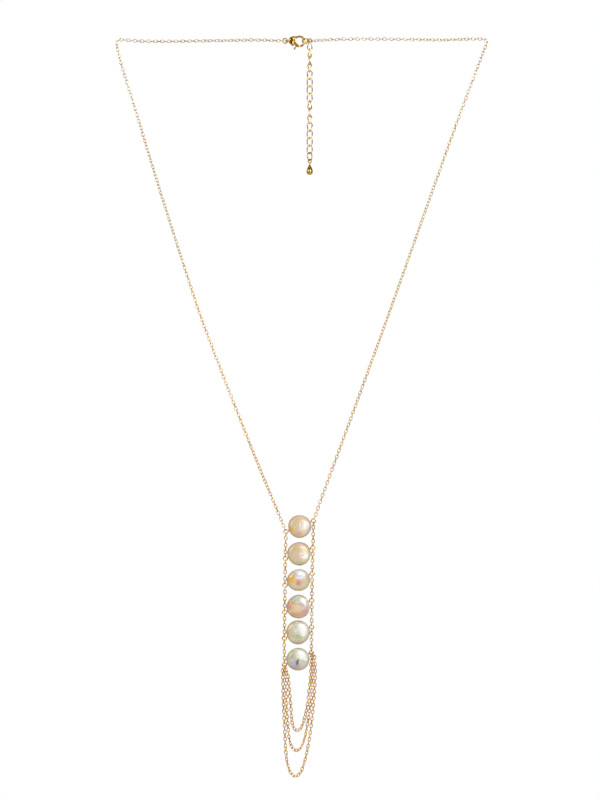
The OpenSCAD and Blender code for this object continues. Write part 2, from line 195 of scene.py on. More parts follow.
# How far the middle line of a link's wire runs past its joint with the next link
LINK_PAST = (LINK_LEN - LINK_WIRE - LINK_PITCH) / 2
PIN_SPAN = 14.8 * MM
LOOP_WID = 2.7 * MM
LOOP_WIRE = 0.6 * MM
LOOP_R = (LOOP_WID - LOOP_WIRE) / 2
CLASP_RING_AT = Vector((-8.15, 0, -0.45)) * MM
CLASP_RING_R = 1.175 * MM
CLASP_RING_WIRE = 0.55 * MM
JUNCTION_AT = Vector((4.1, 0, -0.4)) * MM
JUNCTION_R = 1.2 * MM
JUNCTION_LEAN = -30
RING_WIRE = 0.6 * MM
# Pearls from the top down: X and Z of the pin's middle, its climb to the right, the pearl's width
# and height, its turn round the pin, size and place of its outline's lobes, how far it sits below
Pearl = namedtuple("Pearl", "x z climb wide high turn lobe lobe_at below")
pearls = [
    Pearl(-0.9, -243.1, 21.4, 11.7, 11.55, -4, 0.012, 15, 0.12),
    Pearl(-1.2, -256.55, 21.4, 11.9, 11.95, 5, 0.015, 45, 0.3),
    Pearl(-1.45, -269.7, 23.3, 11.85, 11.45, 18, 0.014, 70, 0.38),
    Pearl(-1.65, -283.15, 23.5, 11.75, 12.05, -6, 0.018, 75, 0.2),
    Pearl(-1.75, -296.35, 22.6, 11.85, 12.2, 4, 0.008, 20, -0.2),
    Pearl(-1.8, -309.35, 24.3, 11.7, 11.7, 10, 0.012, 65, 0.25),
]
# Routes from the clasp to the first pearl, as X and Z in millimetres, and the directions in which the
# chains leave that pearl's loops
left_route = [
    (-22, 0), (-34, -0.2), (-46, -0.4), (-58, -0.6), (-70, -0.7), (-80, -0.6), (-87.5, -0.1),
    (-91, 0.1), (-92.4, -0.8), (-92.3, -2.8), (-90.4, -11), (-88, -19), (-83, -35),
    (-75.8, -59), (-68.3, -83), (-60.7, -107), (-55.5, -123), (-50.1, -139), (-44.1, -155),
    (-38, -171), (-31.7, -187), (-25.4, -203), (-18.9, -219), (-12.6, -234),
]
right_route = [
    (14, 0.1), (26, 0.5), (38, 0.5), (50, 0.3), (62, 0.1), (72, 0), (80, 0.3), (87.5, 0.5),
    (91.2, 0.4), (92.6, -0.7), (92.1, -2.8), (89, -11), (83, -27), (77, -43), (65.6, -75),
    (54.3, -107), (42.9, -139), (31.3, -171), (19.6, -203), (10.4, -228),
]
left_arrives = Vector((-0.44, 0, 0.9)).normalized()
right_arrives = Vector((0.36, 0, 0.93)).normalized()
# Twist of the links along each neck chain: share of its length, turn in degrees
left_twist = [(0, 0), (0.1, 25), (0.25, -20), (0.45, 30), (0.6, 65), (0.75, 95), (0.9, 45), (1, 0)]
right_twist = [(0, JUNCTION_LEAN), (0.05, 0), (0.2, 35), (0.4, -15), (0.6, -60), (0.8, -25), (1, 0)]


def pin_middle(pearl):
    """Middle of a pearl's pin."""
    return Vector((pearl.x, 0, pearl.z)) * MM


def pin_axis(pearl):
    """Direction of a pearl's pin, from left to right."""
    climb = math.radians(pearl.climb)
    return Vector((math.cos(climb), 0, math.sin(climb)))


def loop_at(pearl, side):
    """Centre of the loop on the left (-1) or right (1) of a pearl's pin."""
    return pin_middle(pearl) + side * PIN_SPAN / 2 * pin_axis(pearl)


def hooked_reach(r, wire):
    """Distance from a ring's centre to the first joint of a chain that hooks the ring."""
    return r - wire / 2 - LINK_WIRE / 2 - WIRE_GAP + LINK_PAST


def smooth_curve(points, steps=10):
    """The smooth curve through a list of points."""
    made = []
    for i in range(len(points) - 1):
        a, b = points[max(i - 1, 0)], points[i]
        c, d = points[i + 1], points[min(i + 2, len(points) - 1)]
        for j in range(steps):
            t = j / steps
            made.append(0.5 * (
                2 * b + (c - a) * t + (2 * a - 5 * b + 4 * c - d) * t * t
                + (3 * b - a - 3 * c + d) * t ** 3))
    return made + [points[-1]]


def lookup(x, table):
    """Value at x of a table of pairs, in a straight line between two rows."""
    for (x0, y0), (x1, y1) in zip(table, table[1:]):
        if x <= x1:
            return y0 + (y1 - y0) * max(0, x - x0) / (x1 - x0)
    return table[-1][1]


def joints_along(path):
    """Points where links meet: an odd number of equal links, none longer than the pitch."""
    lengths = [0]
    for a, b in zip(path, path[1:]):
        lengths.append(lengths[-1] + (b - a).length)
    count = 2 * math.ceil((lengths[-1] / LINK_PITCH - 1) / 2) + 1
    found, start = [], 0
    for n in range(count + 1):
        at = lengths[-1] * n / count
        while start < len(lengths) - 2 and lengths[start + 1] < at:
            start += 1
        share = (at - lengths[start]) / (lengths[start + 1] - lengths[start])
        found.append(path[start].lerp(path[start + 1], share))
    return found


def ring_of_wire(bm, wire, sides):
    """A round section of wire, across the Z axis at the origin. Gives its vertices and edges."""
    made = bmesh.ops.create_circle(bm, segments=sides, radius=wire / 2)["verts"]
    return made, list({e for v in made for e in v.link_edges})


def turn_ring(bm, edges, centre, axis, angle, steps):
    """Sweeps a section round a centre and gives the edges of its last place."""
    made = bmesh.ops.spin(
        bm, geom=edges, cent=centre, axis=axis, angle=math.radians(angle), steps=steps,
        use_merge=False, use_normal_flip=False, use_duplicate=False)
    return [g for g in made["geom_last"] if isinstance(g, bmesh.types.BMEdge)]


def push_ring(bm, edges, offset):
    """Draws a section straight on and gives the edges of its last place."""
    made = bmesh.ops.extrude_edge_only(bm, edges=edges)["geom"]
    verts = [g for g in made if isinstance(g, bmesh.types.BMVert)]
    bmesh.ops.translate(bm, verts=verts, vec=offset)
    return [e for e in {e for v in verts for e in v.link_edges}
            if e.verts[0] in verts and e.verts[1] in verts]


def link_mesh(length, width, wire, steps, sides, twist=0):
    """One closed link with straight sides, standing along Z with its face to the front."""
    bm = bmesh.new()
    bend = (width - wire) / 2
    straight = length - width
    verts, first = ring_of_wire(bm, wire, sides)
    bmesh.ops.translate(bm, verts=verts, vec=(bend, 0, straight / 2))
    last = turn_ring(bm, first, (0, 0, straight / 2), (0, -1, 0), 180, steps)
    last = push_ring(bm, last, (0, 0, -straight))
    last = turn_ring(bm, last, (0, 0, -straight / 2), (0, -1, 0), 180, steps)
    bmesh.ops.bridge_loops(bm, edges=first + last)
    bmesh.ops.recalc_face_normals(bm, faces=bm.faces)
    for v in bm.verts:
        v.co.rotate(Matrix.Rotation(math.radians(twist) * v.co.z / length, 3, "Z"))
    return as_mesh(bm, "link")


def place_between(a, b, turn):
    """Place of a link that stands between two joints, turned round its own length in degrees."""
    along = (b - a).normalized()
    front = (Vector((0, 1, 0)) - along * along.y).normalized()
    turn = math.radians(turn)
    wide = math.cos(turn) * front.cross(along) + math.sin(turn) * front
    deep = along.cross(wide)
    made = Matrix((wide, deep, along)).transposed().to_4x4()
    made.translation = (a + b) / 2
    return made


def add_link(bm, link, placed):
    """Adds one more link to a chain, in its place."""
    start = len(bm.verts)
    bm.from_mesh(link)
    bm.verts.ensure_lookup_table()
    bmesh.ops.transform(bm, matrix=placed, verts=bm.verts[start:])


def chain_of(joints, turns, seed, link, loose):
    """Links between joints. Each is turned a quarter from the last, then by the chain's own twist
    there and by up to as many degrees as the chain is loose."""
    rng = random.Random(seed)
    bm = bmesh.new()
    for k, (a, b) in enumerate(zip(joints, joints[1:])):
        twist = lookup((k + 0.5) / (len(joints) - 1), turns) + rng.uniform(-loose, loose)
        add_link(bm, link, place_between(a, b, 90 * (k + 1) + twist))
    return bm


def finish_piece(bm, name, material, nodes, body="necklace"):
    """Makes an object of a shape, smooth and in its place, and lets it stand for its CAD nodes."""
    mesh = as_mesh(bm, name)
    mesh.shade_smooth()
    mesh.materials.append(material)
    made = bpy.data.objects.new(name, mesh)
    bpy.context.scene.collection.objects.link(made)
    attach(made, body)
    if nodes:
        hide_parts(*nodes)
    return made


def mix_colours(tree, factor, under, over, blend="MIX"):
    """The colour that comes of laying one over another by a factor."""
    made = tree.nodes.new("ShaderNodeMix")
    made.data_type = "RGBA"
    made.blend_type = blend
    sockets = {s.identifier: s for s in (*made.inputs, *made.outputs)}
    for name, value in (("Factor_Float", factor), ("A_Color", under), ("B_Color", over)):
        feed(tree, sockets[name], value)
    return sockets["Result_Color"]


def add_group(tree, group, **values):
    """A node group placed in a material, with its own values."""
    made = tree.nodes.new("ShaderNodeGroup")
    made.node_tree = group
    set_inputs(tree, made, **values)
    return made


MARKS_FINER = 6.0
WEAR_ROUGHENS = 0.3
CLOUD_EDGES = (0.35, 0.65)
DENT_DEEP = 0.02 * MM
EDGE_GOLD = (0.9, 0.7, 0.35, 1)
WARM_FROM = -20 * MM
WARM_TO = -220 * MM


def gilding_group():
    """Plated metal: slow changes of tone, fine polishing marks and tiny dents."""
    group = bpy.data.node_groups.new("gilding", "ShaderNodeTree")
    for name in ("Scale", "Wear", "Roughness"):
        group.interface.new_socket(name=name, in_out="INPUT", socket_type="NodeSocketFloat")
    for name in ("Tone", "Roughness", "Height"):
        group.interface.new_socket(name=name, in_out="OUTPUT", socket_type="NodeSocketFloat")
    given = group.nodes.new("NodeGroupInput").outputs
    place = add_node(group, "ShaderNodeTexCoord").outputs["Object"]
    clouds = add_node(
        group, "ShaderNodeTexNoise", Vector=place, Scale=given["Scale"], Detail=3.0, Roughness=0.6)
    finer = add_node(group, "ShaderNodeMath", given["Scale"], MARKS_FINER, operation="MULTIPLY")
    marks = add_node(
        group, "ShaderNodeTexNoise", Vector=place, Scale=finer.outputs[0], Detail=5.0, Roughness=0.7)
    wear = add_node(
        group, "ShaderNodeMath", marks.outputs[0], given["Wear"], operation="MULTIPLY")
    rough = add_node(
        group, "ShaderNodeMath", wear.outputs[0], WEAR_ROUGHENS, given["Roughness"],
        operation="MULTIPLY_ADD")
    add_node(
        group, "NodeGroupOutput", Tone=clouds.outputs[0], Roughness=rough.outputs[0],
        Height=marks.outputs[0])
    return group


gilding = gilding_group()


def gold_finish(name, pale, deep, scale, wear, roughness, bump, warmth=None):
    """Plated gold that runs from a pale to a deep tone over the gilding's clouds.
    With a warmth, the gold also turns deeper and more saturated from the top of the necklace down."""
    material, tree, shader = new_finish(name)
    effect = add_group(tree, gilding, Scale=scale, Wear=wear, Roughness=roughness).outputs
    tone = add_node(tree, "ShaderNodeValToRGB", effect["Tone"])
    for stop, position, gold in zip(tone.color_ramp.elements, CLOUD_EDGES, (deep, pale)):
        stop.position = position
        stop.color = (*gold, 1)
    dents = add_node(
        tree, "ShaderNodeBump", Strength=bump, Distance=DENT_DEEP, Height=effect["Height"])
    set_inputs(
        tree, shader, Metallic=1.0, Specular_Tint=EDGE_GOLD, Base_Color=tone.outputs[0],
        Roughness=effect["Roughness"], Normal=dents.outputs[0])
    if warmth:
        place = add_node(tree, "ShaderNodeTexCoord").outputs["Object"]
        height = add_node(tree, "ShaderNodeSeparateXYZ", place).outputs["Z"]
        lower = add_node(
            tree, "ShaderNodeMapRange", Value=height, From_Min=WARM_FROM, From_Max=WARM_TO).outputs[0]
        for socket, plain in (("Base_Color", tone.outputs[0]), ("Specular_Tint", EDGE_GOLD)):
            richer = mix_colours(tree, lower, plain, (*warmth, 1), "MULTIPLY")
            set_inputs(tree, shader, **{socket: richer})
    return material


def neck_curve(start, route, end):
    """Curve over a route from one hooked ring to another."""
    return smooth_curve([start] + [Vector((x, 0, z)) * MM for x, z in route] + [end])


LOOP_REACH = hooked_reach(LOOP_R, LOOP_WIRE)
chain_gold = gold_finish(
    "chain gold", pale=(0.81, 0.62, 0.35), deep=(0.61, 0.42, 0.21), scale=260, wear=0.5,
    roughness=0.14, bump=0.15, warmth=(1.08, 0.82, 0.12))
cable_link = link_mesh(LINK_LEN, LINK_WID, LINK_WIRE, LINK_STEPS, LINK_SIDES)
left_curve = neck_curve(
    CLASP_RING_AT - Vector((hooked_reach(CLASP_RING_R, CLASP_RING_WIRE), 0, 0)), left_route,
    loop_at(pearls[0], -1) + LOOP_REACH * left_arrives)
right_curve = neck_curve(
    JUNCTION_AT + Vector((hooked_reach(JUNCTION_R, RING_WIRE), 0, 0)), right_route,
    loop_at(pearls[0], 1) + LOOP_REACH * right_arrives)
for node, curve, turns, seed in (
        ("neck_chain_left", left_curve, left_twist, 1),
        ("neck_chain_right", right_curve, right_twist, 2)):
    finish_piece(
        chain_of(joints_along(curve), turns, seed, cable_link, LOOSE_TURN), node + "_links",
        chain_gold, [node])
bpy.data.meshes.remove(cable_link)

# Jump rings and the rings of the clasp.
# Each is a ring of round plated wire bent shut, so a fine slit shows where its two ends meet. They
# join the left chain to the clasp, give the clasp its ring to close on, and carry the extender.
CLASP_LINK_AT = Vector((2.02, 0, -0.45)) * MM
CLASP_LINK_R = 1.6 * MM
CLASP_LINK_LEAN = 55
CLASP_RING_LEAN = 10
SLIT = 2.5
# Rings: CAD node, name, middle line's radius, wire, angle of the slit, place, lean back in degrees
clasp_rings = [
    ("clasp_ring", "clasp_jump_ring", CLASP_RING_R, CLASP_RING_WIRE, 60, CLASP_RING_AT, CLASP_RING_LEAN),
    ("clasp_link", "clasp_held_ring", CLASP_LINK_R, RING_WIRE, 100, CLASP_LINK_AT, CLASP_LINK_LEAN),
    ("extender_ring", "extender_top_ring", JUNCTION_R, RING_WIRE, 200, JUNCTION_AT, JUNCTION_LEAN),
]
clasp_gold = gold_finish(
    "clasp gold", pale=(0.65, 0.4, 0.1), deep=(0.44, 0.25, 0.045), scale=180, wear=0.4,
    roughness=0.17, bump=0.1)


def wire_ring(r, wire, slit_at, placed, steps=40, sides=12):
    """A ring of round wire, facing the front, whose slit lies at an angle from its right side."""
    bm = bmesh.new()
    verts, first = ring_of_wire(bm, wire, sides)
    bmesh.ops.translate(bm, verts=verts, vec=(r, 0, 0))
    last = turn_ring(bm, first, (0, 0, 0), (0, -1, 0), 360 - SLIT, steps)
    for loop in (first, last):
        bmesh.ops.edgeloop_fill(bm, edges=loop)
    bmesh.ops.recalc_face_normals(bm, faces=bm.faces)
    turned = placed @ Matrix.Rotation(-math.radians(slit_at), 4, "Y")
    bmesh.ops.transform(bm, matrix=turned, verts=bm.verts)
    return bm


for node, name, r, wire, slit_at, at, lean in clasp_rings:
    placed = Matrix.Translation(at) @ Matrix.Rotation(math.radians(lean), 4, "X")
    finish_piece(wire_ring(r, wire, slit_at, placed), name, clasp_gold, [node])

# Lobster clasp.
# Body and lever are small castings, so their edges are soft from tumbling, and the body's cheeks are
# full and round. The lever turns on a rivet, whose two domed heads show on the cheeks, and its thumb
# tab sticks out below.
CAST_GRAIN = 0.07 * MM
WELD = 0.001 * MM
WORN = 0.5
EDGE_PASSES = 10
CHEEK_PASSES = 36
CHEEKS_START = -6.4 * MM
CHEEKS_END = -3.3 * MM
RIVET_AT = Vector((-4.3, 0, 0.3)) * MM
RIVET_HEAD = (0.42 * MM, 0.22 * MM, 0.42 * MM)
RIVET_OUT = 1.2 * MM


def tumble(bm, verts, passes):
    """Wears the edges of a casting soft."""
    for _ in range(passes):
        bmesh.ops.smooth_vert(
            bm, verts=verts, factor=WORN, use_axis_x=True, use_axis_y=True, use_axis_z=True)


def casting(node, name, body, riveted=False):
    """A CAD solid as a tumbled casting: the same form with its edges worn soft. A riveted one also
    gets fuller cheeks and the two heads of its rivet."""
    raw = bpy.data.objects.new("raw", bpy.data.meshes.new("raw"))
    bm = bmesh.new()
    bm.from_mesh(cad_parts[node].data)
    bmesh.ops.remove_doubles(bm, verts=bm.verts, dist=WELD)
    bm.to_mesh(raw.data)
    bm.clear()
    bpy.context.scene.collection.objects.link(raw)
    grain = raw.modifiers.new("grain", "REMESH")
    grain.mode = "VOXEL"
    grain.voxel_size = CAST_GRAIN
    cast = bpy.data.meshes.new_from_object(raw.evaluated_get(bpy.context.evaluated_depsgraph_get()))
    bm.from_mesh(cast)
    tumble(bm, bm.verts, EDGE_PASSES)
    if riveted:
        tumble(bm, [v for v in bm.verts if CHEEKS_START < v.co.x < CHEEKS_END], CHEEK_PASSES)
        for side in (-1, 1):
            head = Matrix.Translation(RIVET_AT + Vector((0, side * RIVET_OUT, 0)))
            head = head @ Matrix.Diagonal((*RIVET_HEAD, 1))
            bmesh.ops.create_uvsphere(bm, u_segments=24, v_segments=12, radius=1, matrix=head)
    bpy.data.objects.remove(raw)
    bpy.data.meshes.remove(cast)
    return finish_piece(bm, name, clasp_gold, [node], body)


casting("clasp_body", "clasp_cast_body", "necklace", riveted=True)
casting("clasp_lever", "clasp_cast_lever", "lever")

# Extender.
# Fifteen twisted oval links of plated wire hang from the ring at the clasp, so that the necklace can
# be closed at any of them. A jump ring at their end holds a small solid drop by its bail.
CURB_LEN = 4.93 * MM
CURB_WID = 3.1 * MM
CURB_WIRE = 0.55 * MM
CURB_PITCH = 3.7 * MM
CURB_TWIST = 70
TWIST_GAP = 0.14 * MM
CURB_PAST = (CURB_LEN - CURB_WIRE - CURB_PITCH) / 2
curb_turns = [40, 65, 90, 120, 150, 175, 180, 195, 235, 270, 305, 335, 355, 360, 370]
DROP_RING_R = 2.05 * MM
DROP_RING_WIRE = 0.5 * MM
DROP_RING_TURN = 55
BAIL_R = 0.95 * MM
BAIL_WIRE = 0.55 * MM
DROP_LEN = 5.9 * MM
DROP_WID = 3.2 * MM
DROP_TAPER = 1.6
DROP_STEM = 0.25 * MM
DROP_STEPS = 20
lean = math.radians(JUNCTION_LEAN)
junction_low = JUNCTION_AT + JUNCTION_R * Vector((0, math.sin(lean), -math.cos(lean)))
curb_top = junction_low + Vector((0, 0, RING_WIRE / 2 + CURB_WIRE / 2 + TWIST_GAP - CURB_PAST))
curb_end = curb_top - Vector((0, 0, len(curb_turns) * CURB_PITCH))
drop_ring_at = curb_end - Vector(
    (0, 0, CURB_PAST - CURB_WIRE / 2 - DROP_RING_WIRE / 2 - TWIST_GAP + DROP_RING_R))
bail_at = drop_ring_at - Vector(
    (0, 0, DROP_RING_R - DROP_RING_WIRE / 2 - BAIL_WIRE / 2 - WIRE_GAP + BAIL_R))
extender_gold = gold_finish(
    "extender gold", pale=(0.88, 0.66, 0.28), deep=(0.74, 0.5, 0.17), scale=180, wear=0.4,
    roughness=0.1, bump=0.1)


def hung_at(at, turn):
    """Place of a link or ring that hangs upright, turned round its own length in degrees."""
    return Matrix.Translation(at) @ Matrix.Rotation(math.radians(turn), 4, "Z")


def solid_drop(foot):
    """The drop as a mesh: full and round at its foot, and thinner up to the stem under its bail."""
    bm = bmesh.new()
    fullest = 2 * math.sqrt(1 / (DROP_TAPER + 2))
    fullest *= ((DROP_TAPER + 1) / (DROP_TAPER + 2)) ** ((DROP_TAPER + 1) / 2)
    profile = [bm.verts.new((0, 0, 0))]
    for i in range(1, DROP_STEPS):
        a = math.pi * i / DROP_STEPS
        out = DROP_WID / 2 * math.sin(a) * math.cos(a / 2) ** DROP_TAPER / fullest
        if a > math.pi / 2:
            out = max(DROP_STEM, out)
        profile.append(bm.verts.new((out, 0, DROP_LEN / 2 * (1 - math.cos(a)))))
    profile.append(bm.verts.new((0, 0, DROP_LEN)))
    edges = [bm.edges.new(pair) for pair in zip(profile, profile[1:])]
    bmesh.ops.spin(
        bm, geom=edges, cent=(0, 0, 0), axis=(0, 0, 1), angle=math.tau, steps=32, use_merge=True,
        use_normal_flip=False, use_duplicate=False)
    bmesh.ops.remove_doubles(bm, verts=bm.verts, dist=WELD)
    bmesh.ops.recalc_face_normals(bm, faces=bm.faces)
    bmesh.ops.translate(bm, verts=bm.verts, vec=foot)
    return as_mesh(bm, "drop")


curb_link = link_mesh(CURB_LEN, CURB_WID, CURB_WIRE, steps=8, sides=10, twist=CURB_TWIST)
bm = bmesh.new()
for k, turn in enumerate(curb_turns):
    add_link(bm, curb_link, hung_at(curb_top - Vector((0, 0, (k + 0.5) * CURB_PITCH)), turn))
bpy.data.meshes.remove(curb_link)
finish_piece(bm, "extender_links", extender_gold, ["extender_chain"])

bm = wire_ring(DROP_RING_R, DROP_RING_WIRE, 80, hung_at(drop_ring_at, DROP_RING_TURN))
finish_piece(bm, "drop_jump_ring", clasp_gold, ["drop_ring"])

bm = wire_ring(
    BAIL_R, BAIL_WIRE, 90, hung_at(bail_at, DROP_RING_TURN - 90), steps=24, sides=10)
drop = solid_drop(bail_at - Vector((0, 0, BAIL_R + DROP_LEN)))
bm.from_mesh(drop)
bpy.data.meshes.remove(drop)
finish_piece(bm, "extender_end_drop", clasp_gold, ["extender_drop"])

# Eye pins.
# One plated wire runs through each pearl. At both ends it is kinked and rolled into a round eye,
# whose tip comes back to touch the kink.
PIN_STEM = 0.54 * MM
PIN_SIDES = 12
KINK_R = 0.35 * MM
KINK_STEPS = 5
EYE_STEPS = 30
EYE_TIP = 179
kink_out = math.sqrt(LOOP_R ** 2 + 2 * KINK_R * LOOP_R)
kink_angle = 90 - math.degrees(math.atan2(KINK_R, kink_out))
eye_angle = 2 * kink_angle + EYE_TIP
pin_gold = gold_finish(
    "pin gold", pale=(0.93, 0.56, 0.13), deep=(0.72, 0.38, 0.06), scale=220, wear=0.4,
    roughness=0.12, bump=0.1)


def half_pin(bm, side):
    """Half of a pin, from the pearl's middle out to the eye on one side."""
    start = len(bm.verts)
    verts, edges = ring_of_wire(bm, PIN_STEM, PIN_SIDES)
    bmesh.ops.rotate(bm, verts=verts, cent=(0, 0, 0), matrix=Matrix.Rotation(math.radians(90), 3, "Y"))
    kink_x = PIN_SPAN / 2 - kink_out
    last = push_ring(bm, edges, (kink_x, 0, 0))
    last = turn_ring(bm, last, (kink_x, 0, KINK_R), (0, -1, 0), kink_angle, KINK_STEPS)
    last = turn_ring(bm, last, (PIN_SPAN / 2, 0, 0), (0, 1, 0), eye_angle, EYE_STEPS)
    bmesh.ops.edgeloop_fill(bm, edges=last)
    if side < 0:
        bm.verts.ensure_lookup_table()
        bmesh.ops.rotate(
            bm, verts=bm.verts[start:], cent=(0, 0, 0), matrix=Matrix.Rotation(math.pi, 3, "Y"))


def pin_place(pearl):
    """Place of a pearl's pin: X along the pin and Y to the back."""
    turned = Matrix.Rotation(-math.radians(pearl.climb), 4, "Y")
    return Matrix.Translation(pin_middle(pearl)) @ turned


for i, pearl in enumerate(pearls):
    bm = bmesh.new()
    half_pin(bm, 1)
    half_pin(bm, -1)
    bmesh.ops.remove_doubles(bm, verts=bm.verts, dist=2 * WELD)
    bmesh.ops.recalc_face_normals(bm, faces=bm.faces)
    bmesh.ops.transform(bm, matrix=pin_place(pearl), verts=bm.verts)
    finish_piece(bm, f"eye_pin_{i + 1}_wire", pin_gold, [f"eye_pin_{i + 1}"])

# Pearls.
# Freshwater coin pearls: thick nacre over a flat disc, drilled across for the pin. Each is a flattened
# dome on both sides with rings, ridges and creases of its own, and the nacre breaks the light into
# patches of colour. The white and bluish-white patches are painted highlights, a near-black patch in
# one crease is painted shade, and each pearl's browner edge is partly painted shade.
PEARL_THICK = 5.6 * MM
PEARL_BORE = 0.84 * MM
FLAT_POWER = 3.636
DOME_POWER = 2.105
LOBES = 3
HALVINGS = 22
AROUND = 112
ALONG = 88
POLE = 0.9999
RING_OVAL = 0.16
FOLD_FADE = 1.2
BACK_RELIEF = 0.6
SKIN_LIFT = 0.03
SKIN_GRAIN = 2.2 * MM
CLOUD_MIDDLE = (0.5, 0.5, 0.5)
STIR = 2.2
SILK_SPREAD = 0.1
PATCH_FULL = 0.25
PATCH_GONE = 1.15
# Towards its edge each pearl is painted browner: partly the nacre's own darker edge, partly painted shade
# where the dome curves away.
RIM_TINT_AND_SHADE = (0.3, 0.23, 0.16, 1)
RIM_SHADE_FROM = 0.44
RIM_SHADE_TO = 0.51
RIM_SHADE_STRENGTH = 0.7
# The white tint and the bluish-white tint are painted highlights of the soft boxes on the nacre.
tints = {
    "painted_highlight_white": (0.81, 0.81, 0.78), "painted_highlight_blue": (0.73, 0.77, 0.86), "cream": (0.78, 0.71, 0.56),
    "silver": (0.58, 0.6, 0.53), "beige": (0.55, 0.44, 0.28), "sage": (0.5, 0.48, 0.35),
    "tan": (0.6, 0.47, 0.3), "peach": (0.64, 0.42, 0.25), "orange": (0.66, 0.34, 0.09),
    "amber": (0.7, 0.38, 0.05), "brick": (0.5, 0.26, 0.15), "rose": (0.46, 0.2, 0.2),
    "pink": (0.6, 0.4, 0.36), "lilac": (0.44, 0.35, 0.4), "sky": (0.33, 0.38, 0.52),
    "teal": (0.36, 0.54, 0.45), "moss": (0.36, 0.42, 0.25), "lime": (0.52, 0.53, 0.34),
    # The near-black tint on the next line is painted shade for a crease.
    "olive": (0.5, 0.45, 0.2), "straw": (0.6, 0.48, 0.24), "crease_shade": (0.15, 0.1, 0.09),
    "mauve": (0.4, 0.29, 0.25), "slate": (0.3, 0.3, 0.32),
}
